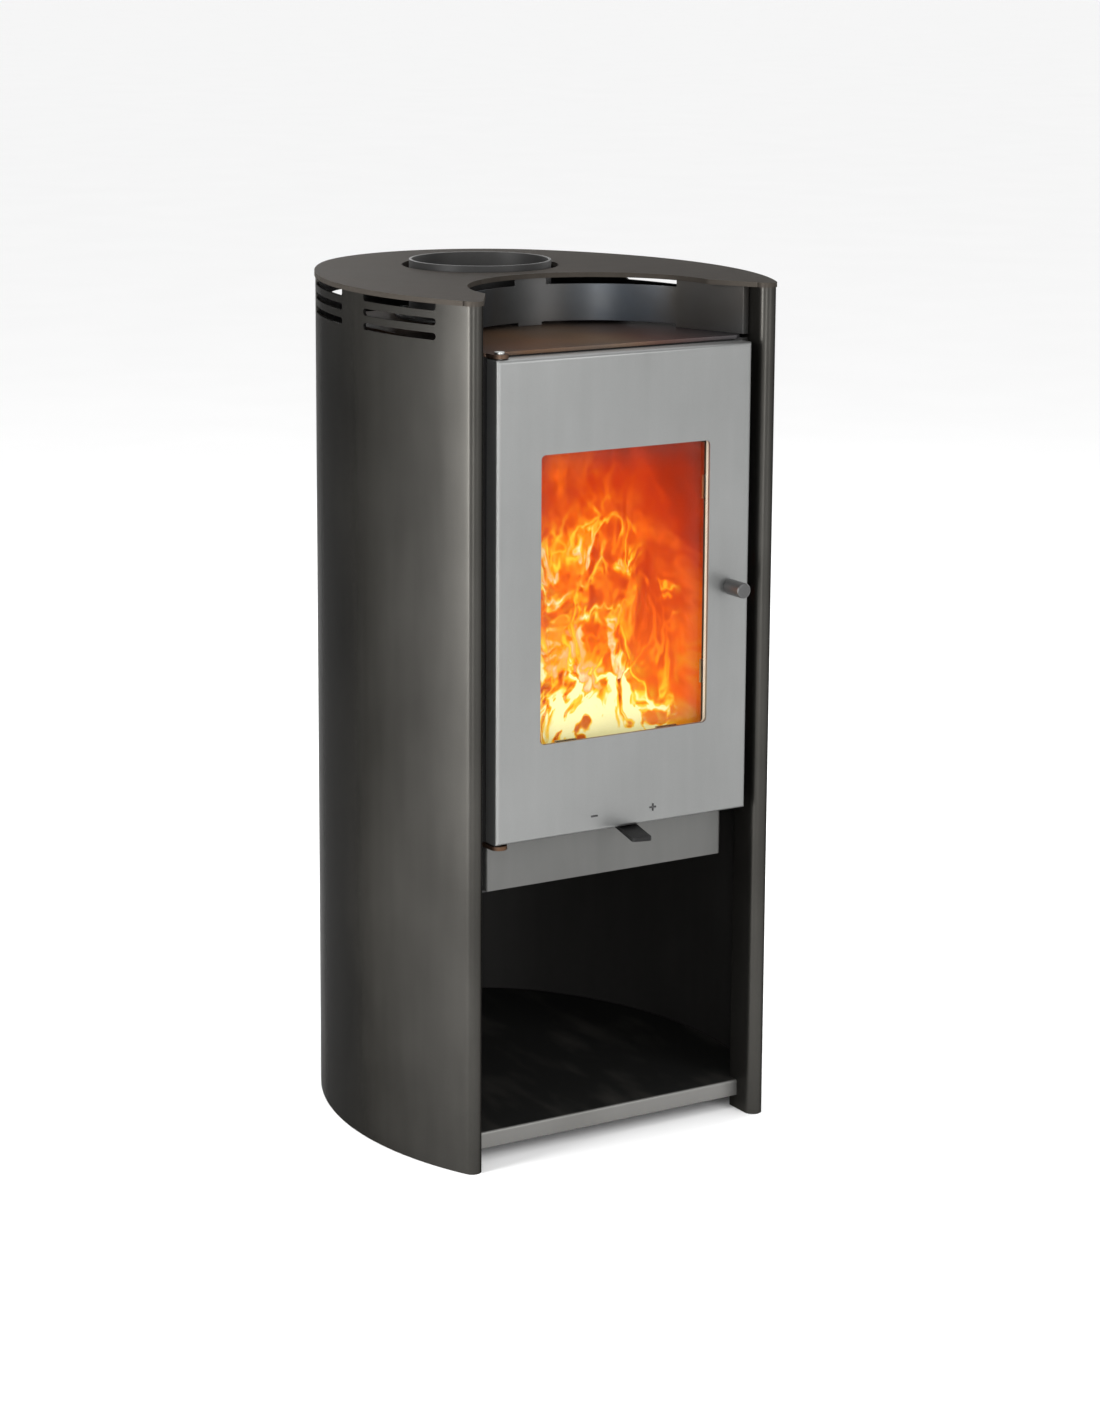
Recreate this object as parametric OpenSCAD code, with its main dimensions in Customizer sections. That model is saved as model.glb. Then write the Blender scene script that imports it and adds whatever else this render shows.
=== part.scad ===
// Wood burning stove with a wrapped oval shell, a hinged glass door, an ash drawer and a log store.
// Millimetres. The origin is on the floor, in the middle of the width; the door faces -Y.

/* [Body] */
// Height of the top of the top plate above the floor
body_h = 880; // [860:1:940]
// Width of the shell at its widest
body_w = 434; // [424:1:460]
// Distance from the origin to the back of the shell
back_depth = 278; // [274:1:300]
// Distance from the origin forwards to the centre of the front rolls
front_depth = 164; // [162:1:172]
// Thickness of the shell steel
shell_t = 3; // [2:0.5:4]
// Thickness of the top plate
top_t = 5; // [3:0.5:8]

/* [Flue] */
// Outer diameter of the flue collar
flue_d = 150; // [120:1:160]
// Wall of the flue collar
flue_wall = 3; // [2:0.5:4]
// Distance from the origin back to the centre of the flue
flue_y = 118; // [112:1:122]
// Gap round the collar in the top plate
flue_gap = 7.5; // [3:0.5:12]

/* [Warming recess] */
// Radius of the round cut-out in the front of the top plate
bite_r = 131.5; // [118:0.5:136]
// Distance from the origin forwards to the centre of the cut-out
bite_y = 119; // [112:1:130]

/* [Door] */
// Width of the door
door_w = 298; // [280:1:304]
// Height of the bottom edge of the door
door_z = 337; // [330:1:360]
// Distance from the top of the stove down to the top edge of the door
door_drop = 59; // [55:1:80]
// Depth of the folded door panel
door_d = 21; // [20:1:24]
// Width of the window
window_w = 198; // [150:1:206]
// Height of the bottom of the window above the bottom of the door
window_low = 97; // [80:1:140]
// Height of the window
window_h = 291; // [230:1:310]
// Length of the door knob
knob_l = 30; // [20:1:45]
// Diameter of the door knob
knob_d = 16; // [12:0.5:20]

/* [Air control] */
// Reach of the air lever from its pivot to its tip
lever_l = 156; // [140:1:170]
// Width of the air lever
lever_w = 21; // [14:1:26]

/* [Log store and ash drawer] */
// Height of the floor of the log store
floor_z = 32; // [25:1:60]
// Height of the ash drawer front
drawer_h = 48; // [44:1:56]
// Width of the ash drawer front
drawer_w = 282; // [270:1:290]

/* [Hidden] */
$fn = 96;

// shell outline in plan: one back arc and two side arcs that meet it tangentially
half_w = body_w / 2;
back_arc_y = 100;
back_arc_r = back_depth - back_arc_y;
widest_y = -10;
arc_rise = back_arc_y - widest_y;
side_arc_r = (half_w * half_w - back_arc_r * back_arc_r + arc_rise * arc_rise) / (2 * (half_w - back_arc_r));
side_arc_x = half_w - side_arc_r;
join_y = back_arc_y + back_arc_r * arc_rise / (side_arc_r - back_arc_r);
far = 400;
cut = 1;

// front rolls and flanges of the shell
roll_r = 9.5;
roll_y = -front_depth;
roll_x = side_arc_x + sqrt(pow(side_arc_r - roll_r, 2) - pow(roll_y - widest_y, 2));
flange_x = roll_x - roll_r;
roll_a = atan2(roll_y - widest_y, roll_x - side_arc_x);
join_a = atan2(arc_rise, -side_arc_x);
flange_l = 29;
flange_y = roll_y + flange_l;
shell_h = body_h - top_t;

// air slots in the shell
slot_h = 7;
slot_pitch = 14.3;
slot_top = 7;
slot_reach = 8;
slot_side_angles = [[-20.4, -2.6], [5, 22.8]];
slot_back_angles = [[47.5, 82.5], [97.5, 132.5]];

// firebox
steel = 4;
front_t = 5;
firebox_x = 152;
firebox_low = door_z + 8;
firebox_top_z = body_h - door_drop + 1;
firebox_top_t = 4;
front_y = -140;
corner_y = 120;
firebox_back = 206;
back_x = 100;
brick_t = 25;
brick_low = firebox_low + steel;
brick_high = firebox_top_z - 62;
brick_front = front_y + 18;
joint_gap = 0.5;
opening_x = door_w / 2 - 27;
opening_low = door_z + 51;
opening_high = firebox_top_z - 30;
grate_r = 52;
grate_y = 45;

// recess wall
wall_t = 2.5;
wall_r = bite_r + 3;
wall_a = 20;
wall_front = -148;
recess_low = firebox_top_z + firebox_top_t;
recess_high = body_h - top_t;
notch_h = 7;

// door
door_x = door_w / 2;
door_y = front_y - front_t - 7 - door_d;
door_top = body_h - door_drop;
pan_t = 3;
bend_r = 4;
knob_room = 50;
window_x = min(window_w / 2, door_x - knob_room);
window_z = door_z + window_low;
frame_t = 4;
frame_y = door_y + door_d - frame_t;
glass_t = 4;
glass_y = door_y + 10;
glass_lap = 13;
seal_w = 8;
seal_in = opening_x + 2;
hinge_x = -(door_x - 9);
hinge_y = door_y + 12;
pin_r = 3;
pin_fit = 0.08;
sleeve_r = 5.5;
sleeve_l = 20;
lug_t = 4;
knob_x = door_x - 26;
knob_z = door_z + 236;
tongue_x = door_x - 12;
tongue_t = 3;
tongue_h = 24;

// air control
lever_t = 4;
lever_z = door_z - 6;
lever_px = 38;
lever_py = -60;
lever_rest = 14.7;
valve_r = 34;
valve_t = 3;
port_r = 8;
port_d = 22;

// drawer
drawer_x = drawer_w / 2;
drawer_top = lever_z - 2;
drawer_low = drawer_top - drawer_h;
drawer_y = -140;
drawer_fold = 14;
sheet = 2;
tray_x = drawer_x - 9;
tray_back = 95;
tray_h = 34;
roof_z = drawer_low - 5;
rail_x = drawer_x + 2;
tray_low = roof_z + sheet + 7;

module plan_solid(grow, z0, h) {
    union() {
        intersection() {
            translate([side_arc_x, widest_y, z0])
                cylinder(r = side_arc_r + grow, h = h, $fn = 200);
            translate([-side_arc_x, widest_y, z0])
                cylinder(r = side_arc_r + grow, h = h, $fn = 200);
            translate([-far, -far, z0])
                cube([2 * far, far + join_y, h]);
        }
        intersection() {
            translate([0, back_arc_y, z0])
                cylinder(r = back_arc_r + grow, h = h, $fn = 200);
            translate([-far, join_y, z0])
                cube([2 * far, far, h]);
        }
    }
}

module box(low, high) {
    translate(low)
        cube(high - low);
}

module both_sides() {
    children();
    mirror([1, 0, 0])
        children();
}

module bar_y(x, y0, y1, z, r) {
    translate([x, y0, z])
        rotate([-90, 0, 0])
            cylinder(r = r, h = y1 - y0, $fn = 48);
}

module rounded_plate(x, z0, z1, y0, y1, r) {
    box([-x + r, y0, z0], [x - r, y1, z1]);
    box([-x, y0, z0 + r], [x, y1, z1 - r]);
    for (cx = [-x + r, x - r], cz = [z0 + r, z1 - r])
        bar_y(cx, y0, y1, cz, r);
}

// a slot along an arc, cut through the sheet there
module arc_slot(centre, r, from, to, z0, z1) {
    translate([centre[0], centre[1], 0])
        rotate([0, 0, from])
            rotate_extrude(angle = to - from, $fn = 200)
                translate([r - slot_reach, z0])
                    square([2 * slot_reach, z1 - z0]);
}

// three rows of air slots; the top row is open to the edge of the sheet
module slot_groups() {
    for (row = [0, 1, 2]) {
        z0 = shell_h - slot_top - row * slot_pitch;
        z1 = row == 0 ? shell_h + cut : z0 + slot_h;
        for (a = slot_side_angles)
            both_sides()
                arc_slot([side_arc_x, widest_y], side_arc_r, a[0], a[1], z0, z1);
        for (a = slot_back_angles)
            arc_slot([0, back_arc_y], back_arc_r, a[0], a[1], z0, z1);
    }
}

// points along an arc, a step of a few millimetres or degrees apart
function arc_points(centre, r, from, to, count) =
    [for (i = [0 : count]) centre + r * [cos(from + (to - from) * i / count), sin(from + (to - from) * i / count)]];

// right half of the sheet's line, from the end of the flange to the middle of the back
function half_line(off) = concat(
    [[flange_x + off, flange_y]],
    arc_points([roll_x, roll_y], roll_r - off, 180, 360 + roll_a, 16),
    arc_points([side_arc_x, widest_y], side_arc_r - off, roll_a + 1.5, join_a, 40),
    arc_points([0, back_arc_y], back_arc_r - off, join_a + 2, 90, 24)
);

function mirrored(points) = [for (i = [len(points) - 2 : -1 : 0]) [-points[i][0], points[i][1]]];
function whole_line(off) = concat(half_line(off), mirrored(half_line(off)));
function reversed(points) = [for (i = [len(points) - 1 : -1 : 0]) points[i]];

module outer_shell() {
    color("dimgray")
        difference() {
            linear_extrude(height = shell_h)
                polygon(concat(whole_line(0), reversed(whole_line(shell_t))));
            slot_groups();
        }
}

module top_plate() {
    lip = 1;
    tip_x = flange_x - 2;
    color([0.30, 0.28, 0.27])
        difference() {
            union() {
                difference() {
                    plan_solid(lip, shell_h, top_t);
                    box([-far, -far, shell_h - cut], [far, roll_y, body_h + cut]);
                }
                both_sides()
                    translate([roll_x, roll_y, shell_h])
                        cylinder(r = roll_r + lip, h = top_t);
            }
            translate([0, -bite_y, shell_h - cut])
                cylinder(r = bite_r, h = top_t + 2 * cut, $fn = 200);
            translate([0, 0, shell_h - cut])
                linear_extrude(height = top_t + 2 * cut)
                    polygon([
                        [-bite_r, -bite_y], [-tip_x, roll_y], [-tip_x, -far],
                        [tip_x, -far], [tip_x, roll_y], [bite_r, -bite_y]
                    ]);
            translate([0, flue_y, shell_h - cut])
                cylinder(r = flue_d / 2 + flue_gap, h = top_t + 2 * cut);
        }
}

module flue_collar() {
    rim = 6;
    ring_r = flue_d / 2 + 14;
    ring_t = 3;
    color([0.22, 0.22, 0.22])
        translate([0, flue_y, recess_low])
            difference() {
                union() {
                    cylinder(r = flue_d / 2, h = body_h + rim - recess_low);
                    cylinder(r = ring_r, h = ring_t);
                }
                translate([0, 0, -cut])
                    cylinder(r = flue_d / 2 - flue_wall, h = far);
            }
}

module collar_bolts() {
    ring_t = 3;
    bolt_ring = flue_d / 2 + 8;
    color("darkgray")
        for (a = [45 : 90 : 315])
            translate([0, flue_y, recess_low + ring_t])
                rotate([0, 0, a])
                    translate([bolt_ring, 0, 0])
                        cylinder(r = 5, h = 4, $fn = 6);
}

// plan line of the recess wall: an arc that runs on in straight legs towards the flanges
function wall_leg(off) = [
    (wall_r + off) * cos(wall_a) + ((wall_r + off) * sin(wall_a) - bite_y - wall_front) * tan(wall_a),
    wall_front
];
function wall_line(off) = concat(
    [wall_leg(off)],
    arc_points([0, -bite_y], wall_r + off, wall_a, 180 - wall_a, 100),
    [[-wall_leg(off)[0], wall_front]]
);

module recess_wall() {
    foot_x = flange_x - 1;
    color([0.45, 0.45, 0.46])
        difference() {
            union() {
                translate([0, 0, recess_low])
                    linear_extrude(height = recess_high - recess_low)
                        polygon(concat(wall_line(0), reversed(wall_line(wall_t))));
                both_sides()
                    box([wall_leg(0)[0] + 0.5, wall_front, recess_low], [foot_x, wall_front + wall_t, recess_high]);
            }
            for (a = [[wall_a + 2, 82], [98, 178 - wall_a]])
                arc_slot([0, -bite_y], wall_r, a[0], a[1], recess_high - notch_h, recess_high + cut);
            for (a = [[wall_a + 2, 84], [96, 178 - wall_a]])
                arc_slot([0, -bite_y], wall_r, a[0], a[1], recess_low - cut, recess_low + notch_h / 2);
        }
}

// plan of the firebox, drawn in from its outside by the given amount
module firebox_plan(inset, z0, h, y0) {
    slope = (corner_y - firebox_back) / (firebox_x - back_x);
    shift = inset * (sqrt(1 + slope * slope) + slope);
    x = firebox_x - inset;
    translate([0, 0, z0])
        linear_extrude(height = h)
            polygon([
                [-x, y0], [x, y0], [x, corner_y - shift * 0.5], [back_x - inset * 0.5, firebox_back - inset],
                [-back_x + inset * 0.5, firebox_back - inset], [-x, corner_y - shift * 0.5]
            ]);
}

module firebox_body() {
    color([0.2, 0.2, 0.2])
        difference() {
            firebox_plan(0, firebox_low, firebox_top_z - firebox_low, front_y);
            firebox_plan(steel, firebox_low + steel, far * 3, front_y - cut);
            translate([0, grate_y, firebox_low - cut])
                cylinder(r = grate_r - 6, h = steel + 2 * cut);
            for (dx = [-port_d, port_d])
                translate([lever_px + dx, lever_py, firebox_low - cut])
                    cylinder(r = port_r, h = steel + 2 * cut, $fn = 32);
        }
}

module firebox_top() {
    front_edge = front_y - 10;
    color([0.36, 0.30, 0.26])
        difference() {
            union() {
                firebox_plan(0, firebox_top_z, firebox_top_t, front_y);
                rounded_front(front_edge);
            }
            translate([0, flue_y, firebox_top_z - cut])
                cylinder(r = flue_d / 2 - flue_wall - 2, h = far);
        }
}

module rounded_front(edge) {
    r = 8;
    box([-firebox_x, edge + r, firebox_top_z], [firebox_x, front_y, firebox_top_z + firebox_top_t]);
    box([-firebox_x + r, edge, firebox_top_z], [firebox_x - r, front_y, firebox_top_z + firebox_top_t]);
    both_sides()
        translate([firebox_x - r, edge + r, firebox_top_z])
            cylinder(r = r, h = firebox_top_t, $fn = 48);
}

module firebox_front() {
    slot_x = 46;
    color([0.2, 0.2, 0.2])
        difference() {
            box([-flange_x, front_y - front_t, lever_z - 1], [flange_x, front_y, firebox_top_z]);
            box([-opening_x, -far, opening_low], [opening_x, 0, opening_high]);
            box([-slot_x, -far, 0], [slot_x + 12, 0, lever_z + lever_t + 2]);
            box([tongue_x - 4, -far, knob_z - tongue_h], [tongue_x + tongue_t + 4, 0, knob_z + tongue_h]);
        }
}

module floor_plate() {
    lip_y = -148;
    lip_h = 17;
    lip_r = 3;
    fit = 0.2;
    color([0.35, 0.35, 0.35]) {
        difference() {
            plan_solid(-shell_t - fit, floor_z - shell_t, shell_t);
            box([-far, -far, 0], [far, flange_y + cut, far]);
        }
        box([-flange_x, lip_y + lip_r, floor_z - shell_t], [flange_x, flange_y + cut, floor_z]);
        box([-flange_x, lip_y, floor_z - lip_h], [flange_x, lip_y + shell_t, floor_z - lip_r]);
        intersection() {
            translate([-flange_x, lip_y + lip_r, floor_z - lip_r])
                rotate([0, 90, 0])
                    cylinder(r = lip_r, h = 2 * flange_x, $fn = 48);
            box([-far, -far, floor_z - lip_r], [far, lip_y + lip_r, floor_z]);
        }
    }
}

module log_store_roof() {
    color([0.12, 0.12, 0.12])
        box([-rail_x - sheet, drawer_y + drawer_fold + cut, roof_z], [rail_x + sheet, corner_y, roof_z + sheet]);
}

module drawer_rails() {
    ledge = 16;
    color([0.3, 0.3, 0.3])
        both_sides() {
            box([rail_x, drawer_y + drawer_fold + cut, roof_z + sheet], [rail_x + sheet, corner_y, firebox_low]);
            box([rail_x - ledge, drawer_y + drawer_fold + cut, tray_low - 0.3 - sheet], [rail_x, corner_y, tray_low - 0.3]);
        }
}

module heat_shield() {
    y = firebox_back + 18;
    color([0.5, 0.5, 0.5])
        box([-86, y, firebox_low + 15], [86, y + sheet, firebox_top_z - 30]);
}

module shield_spacers() {
    color("darkgray")
        for (x = [-65, 65], z = [firebox_low + 60, firebox_top_z - 80])
            bar_y(x, firebox_back, firebox_back + 18, z, 6);
}

module side_brick(side) {
    x0 = firebox_x - steel - brick_t - 1;
    mirror([side < 0 ? 1 : 0, 0, 0])
        box([x0, brick_front, brick_low], [x0 + brick_t, corner_y - 12, brick_high]);
}

module brick_left() {
    color("tan")
        side_brick(-1);
}

module brick_right() {
    color("tan")
        side_brick(1);
}

module brick_back() {
    y1 = firebox_back - steel - 1;
    color("tan")
        box([-78, y1 - brick_t, brick_low], [78, y1, brick_high]);
}

module brick_back_corners() {
    y1 = firebox_back - steel - 1;
    x0 = firebox_x - steel - brick_t - 1;
    color("tan")
        both_sides()
            translate([0, 0, brick_low])
                linear_extrude(height = brick_high - brick_low)
                    polygon([
                        [78 + joint_gap, y1], [92, y1], [x0 + brick_t - 1, corner_y - 12 + joint_gap],
                        [x0, corner_y - 12 + joint_gap], [78 + joint_gap, y1 - brick_t]
                    ]);
}

module brick_floor() {
    x0 = firebox_x - steel - brick_t - 1 - joint_gap;
    y1 = firebox_back - steel - 1 - brick_t - joint_gap;
    color("tan")
        difference() {
            translate([0, 0, brick_low])
                linear_extrude(height = brick_t)
                    polygon([
                        [-x0, brick_front], [x0, brick_front], [x0, corner_y - 14],
                        [74, y1], [-74, y1], [-x0, corner_y - 14]
                    ]);
            translate([0, grate_y, brick_low - cut])
                cylinder(r = grate_r + 1, h = brick_t + 2 * cut);
        }
}

module grate() {
    bar_w = 6;
    bar_pitch = 14;
    t = 10;
    color([0.25, 0.25, 0.25])
        translate([0, grate_y, brick_low]) {
            difference() {
                cylinder(r = grate_r, h = t);
                translate([0, 0, -cut])
                    cylinder(r = grate_r - bar_w, h = t + 2 * cut);
            }
            intersection() {
                cylinder(r = grate_r - cut, h = t);
                for (i = [-3 : 3])
                    translate([i * bar_pitch - bar_w / 2, -grate_r, 0])
                        cube([bar_w, 2 * grate_r, t]);
            }
        }
}

module log_bar() {
    color([0.22, 0.22, 0.22])
        box([-opening_x + 2, front_y + 4, brick_low], [opening_x - 2, front_y + 9, opening_low + 34]);
}

module baffle() {
    color("wheat")
        translate([0, 0, brick_high - 40])
            linear_extrude(height = 24)
                polygon([
                    [-114, -62], [114, -62], [114, corner_y - 20], [74, corner_y + 46],
                    [-74, corner_y + 46], [-114, corner_y - 20]
                ]);
}

module baffle_supports() {
    x0 = firebox_x - steel - brick_t - 1;
    color([0.25, 0.25, 0.25])
        both_sides()
            box([x0 - 14, -50, brick_high - 46], [x0, 90, brick_high - 40]);
}

module hinge_lugs() {
    w = 9;
    color([0.25, 0.25, 0.25]) {
        difference() {
            union() {
                box([hinge_x - w, hinge_y, firebox_top_z], [hinge_x + w, front_y - 10, firebox_top_z + lug_t]);
                translate([hinge_x, hinge_y, firebox_top_z])
                    cylinder(r = w, h = lug_t, $fn = 48);
            }
            translate([hinge_x, hinge_y, firebox_top_z - cut])
                cylinder(r = pin_r, h = lug_t + 2 * cut, $fn = 48);
        }
        difference() {
            union() {
                box([hinge_x - w, hinge_y, lever_z], [hinge_x + w, front_y - front_t, lever_z + lug_t]);
                translate([hinge_x, hinge_y, lever_z])
                    cylinder(r = w, h = lug_t, $fn = 48);
            }
            translate([hinge_x, hinge_y, lever_z - cut])
                cylinder(r = pin_r, h = lug_t + 2 * cut, $fn = 48);
        }
    }
}

module hinge_pins() {
    head = 2;
    color("silver") {
        translate([hinge_x, hinge_y, door_top - pan_t - sleeve_l + 2])
            cylinder(r = pin_r, h = firebox_top_z + lug_t - door_top + pan_t + sleeve_l - 2, $fn = 48);
        translate([hinge_x, hinge_y, firebox_top_z + lug_t])
            cylinder(r = pin_r + 2, h = head, $fn = 48);
        translate([hinge_x, hinge_y, lever_z])
            cylinder(r = pin_r, h = door_z - lever_z + pan_t + sleeve_l - 2, $fn = 48);
    }
}

module latch_keeper() {
    reach = 13;
    wing = 2;
    color([0.5, 0.5, 0.5])
        for (side = [-1, 1])
            translate([tongue_x + tongue_t / 2 + side * (tongue_t / 2 + 2.5) - wing / 2, front_y, knob_z - 14])
                cube([wing, reach, 28]);
}

module air_port_plate() {
    x0 = lever_px - 46;
    y0 = lever_py - 46;
    z0 = lever_z + lever_t + valve_t + 0.5;
    color([0.3, 0.3, 0.3])
        difference() {
            box([x0, y0, z0], [x0 + 92, y0 + 92, firebox_low]);
            for (dx = [-port_d, port_d])
                translate([lever_px + dx, lever_py, 0])
                    cylinder(r = port_r, h = far * 2, $fn = 32);
            translate([lever_px, lever_py, 0])
                cylinder(r = pin_r, h = far * 2, $fn = 48);
        }
}

module lever_pin() {
    head = 2;
    color("silver") {
        translate([lever_px, lever_py, lever_z - 0.5])
            cylinder(r = pin_r, h = firebox_low - lever_z + 0.5, $fn = 48);
        translate([lever_px, lever_py, lever_z - 0.5 - head])
            cylinder(r = pin_r + 3, h = head, $fn = 48);
    }
}

// door panel: a pan whose front edges are bends
module pan_block(inset, depth) {
    x = door_x - inset;
    r = bend_r - inset;
    y0 = door_y + inset;
    y1 = y0 + depth;
    z0 = door_z + inset;
    z1 = door_top - inset;
    intersection() {
        union() {
            box([-x, y0 + r, z0], [x, y1, z1]);
            box([-x + r, y0, z0], [x - r, y1, z1]);
            for (sx = [-x + r, x - r])
                translate([sx, y0 + r, z0])
                    cylinder(r = r, h = z1 - z0, $fn = 48);
        }
        union() {
            box([-x, y0 + r, z0], [x, y1, z1]);
            box([-x, y0, z0 + r], [x, y1, z1 - r]);
            for (sz = [z0 + r, z1 - r])
                translate([-x, y0 + r, sz])
                    rotate([0, 90, 0])
                        cylinder(r = r, h = 2 * x, $fn = 48);
        }
    }
}

module door_panel() {
    color([0.6, 0.61, 0.6])
        difference() {
            pan_block(0, door_d);
            pan_block(pan_t, far);
            rounded_plate(window_x, window_z, window_z + window_h, door_y - cut, door_y + pan_t + cut, 5);
            translate([hinge_x, hinge_y, 0])
                cylinder(r = pin_r + pin_fit, h = far * 3, $fn = 48);
            bar_y(knob_x, door_y - cut, door_y + pan_t + cut, knob_z, 3);
        }
}

module door_frame() {
    lap = 7;
    color([0.28, 0.28, 0.28])
        difference() {
            box([-door_x + pan_t, frame_y, door_z + pan_t], [door_x - pan_t, frame_y + frame_t, door_top - pan_t]);
            box([-window_x - lap, -far, window_z - lap], [window_x + lap, far, window_z + window_h + lap]);
            for (z = [door_z, door_top - 30])
                box([-door_x, -far, z], [hinge_x + sleeve_r + 2, far, z + 30]);
        }
}

module door_glass() {
    color([0.3, 0.25, 0.2, 0.5])
        rounded_plate(window_x + glass_lap, window_z - glass_lap, window_z + window_h + glass_lap,
            glass_y, glass_y + glass_t, 4);
}

module glass_gasket() {
    inset = 2;
    color([0.85, 0.82, 0.75])
        difference() {
            rounded_plate(window_x + glass_lap - 1, window_z - glass_lap + 1, window_z + window_h + glass_lap - 1,
                door_y + pan_t, glass_y, 4);
            rounded_plate(window_x + inset, window_z - inset, window_z + window_h + inset,
                door_y, glass_y + cut, 4);
        }
}

clip_l = 24;
clip_xs = [-60, 60];
clip_zs = [window_z + 50, window_z + window_h - 50];

module glass_clips() {
    y0 = glass_y + glass_t;
    over = 10;
    color([0.5, 0.5, 0.5]) {
        for (x = clip_xs, z = [window_z - over - 2, window_z + window_h + 2])
            box([x - clip_l / 2, y0, z], [x + clip_l / 2, frame_y, z + over]);
        for (z = clip_zs)
            both_sides()
                box([window_x + 2, y0, z - clip_l / 2], [window_x + 2 + over, frame_y, z + clip_l / 2]);
    }
}

module door_screws() {
    head = 2.5;
    edge = 14;
    y0 = frame_y + frame_t;
    color("silver") {
        for (x = clip_xs, z = [window_z - edge, window_z + window_h + edge])
            bar_y(x, y0, y0 + head, z, 4);
        for (z = clip_zs)
            both_sides()
                bar_y(window_x + edge, y0, y0 + head, z, 4);
    }
}

module rope_seal() {
    y0 = frame_y + frame_t;
    color([0.75, 0.72, 0.66])
        difference() {
            rounded_plate(seal_in + seal_w, opening_low - 2 - seal_w, opening_high + 2 + seal_w,
                y0, front_y - front_t, 12);
            rounded_plate(seal_in, opening_low - 2, opening_high + 2, y0 - cut, front_y, 4);
        }
}

module hinge_sleeves() {
    color([0.3, 0.3, 0.3])
        for (z = [door_z + pan_t, door_top - pan_t - sleeve_l])
            translate([hinge_x, hinge_y, z])
                difference() {
                    cylinder(r = sleeve_r, h = sleeve_l, $fn = 48);
                    translate([0, 0, -cut])
                        cylinder(r = pin_r + pin_fit, h = sleeve_l + 2 * cut, $fn = 48);
                }
}

module latch_tongue() {
    color([0.4, 0.4, 0.4])
        box([tongue_x, frame_y + frame_t, knob_z - tongue_h / 2], [tongue_x + tongue_t, front_y + 11, knob_z + tongue_h / 2]);
}

module door_knob() {
    chamfer = 1.2;
    r = knob_d / 2;
    neck_l = 4;
    color([0.25, 0.25, 0.25])
        translate([knob_x, door_y, knob_z])
            rotate([90, 0, 0])
                rotate_extrude($fn = 64)
                    polygon([
                        [0, 0], [r - 2, 0], [r - 2, neck_l], [r, neck_l],
                        [r, knob_l - chamfer], [r - chamfer, knob_l], [0, knob_l]
                    ]);
}

module knob_screw() {
    color("silver") {
        bar_y(knob_x, door_y, door_y + pan_t, knob_z, 3);
        bar_y(knob_x, door_y + pan_t, door_y + pan_t + 4, knob_z, 6);
    }
}

module air_lever() {
    tip_r = 4;
    w = lever_w / 2;
    color([0.12, 0.12, 0.12])
        translate([lever_px, lever_py, lever_z])
            rotate([0, 0, -lever_rest])
                difference() {
                    union() {
                        box([-w, -lever_l + tip_r, 0], [w, 0, lever_t]);
                        box([-w + tip_r, -lever_l, 0], [w - tip_r, 0, lever_t]);
                        for (x = [-w + tip_r, w - tip_r])
                            translate([x, -lever_l + tip_r, 0])
                                cylinder(r = tip_r, h = lever_t, $fn = 48);
                        cylinder(r = w, h = lever_t, $fn = 48);
                    }
                    translate([0, 0, -cut])
                        cylinder(r = pin_r + pin_fit, h = lever_t + 2 * cut, $fn = 48);
                }
}

module air_valve() {
    color([0.3, 0.3, 0.3])
        translate([lever_px, lever_py, lever_z + lever_t])
            difference() {
                cylinder(r = valve_r, h = valve_t);
                for (dx = [-port_d, port_d])
                    translate([dx, 0, -cut])
                        cylinder(r = port_r, h = valve_t + 2 * cut, $fn = 32);
                translate([0, 0, -cut])
                    cylinder(r = pin_r + pin_fit, h = valve_t + 2 * cut, $fn = 48);
            }
}

module drawer_front() {
    r = 3;
    color([0.48, 0.49, 0.49])
        difference() {
            union() {
                box([-drawer_x + r, drawer_y, drawer_low], [drawer_x - r, drawer_y + drawer_fold, drawer_top]);
                box([-drawer_x, drawer_y + r, drawer_low], [drawer_x, drawer_y + drawer_fold, drawer_top]);
                both_sides()
                    translate([drawer_x - r, drawer_y + r, drawer_low])
                        cylinder(r = r, h = drawer_h, $fn = 48);
            }
            box([-drawer_x + sheet, drawer_y + sheet, drawer_low + sheet],
                [drawer_x - sheet, far, drawer_top - sheet]);
        }
}

module drawer_tray() {
    y0 = drawer_y + sheet;
    wall = 1.5;
    color([0.4, 0.4, 0.4])
        difference() {
            box([-tray_x, y0, tray_low], [tray_x, tray_back, tray_low + tray_h]);
            box([-tray_x + wall, y0 + wall, tray_low + wall], [tray_x - wall, tray_back - wall, far * 2]);
        }
}

module drawer_rivets() {
    wall = 1.5;
    color("silver")
        for (x = [-90, -30, 30, 90])
            bar_y(x, drawer_y + sheet + wall, drawer_y + sheet + wall + 2, tray_low + 18, 3);
}

outer_shell();
top_plate();
flue_collar();
collar_bolts();
recess_wall();
firebox_body();
firebox_top();
firebox_front();
floor_plate();
log_store_roof();
drawer_rails();
heat_shield();
shield_spacers();
brick_left();
brick_right();
brick_back();
brick_back_corners();
brick_floor();
grate();
log_bar();
baffle();
baffle_supports();
hinge_lugs();
hinge_pins();
latch_keeper();
air_port_plate();
lever_pin();
door_panel();
door_frame();
door_glass();
glass_gasket();
glass_clips();
door_screws();
rope_seal();
hinge_sleeves();
latch_tongue();
door_knob();
knob_screw();
air_lever();
air_valve();
drawer_front();
drawer_tray();
drawer_rivets();
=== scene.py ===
# %% [markdown]
# # A wood burning stove
# The stove comes as CAD solids that already stand in the right place. This
# lesson gives each of them a finish, swaps a few for finer surfaces, lays a
# fire, and lights the result like an object in a studio.

import math

import bmesh
import bpy
import numpy as np
from mathutils import Matrix


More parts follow.
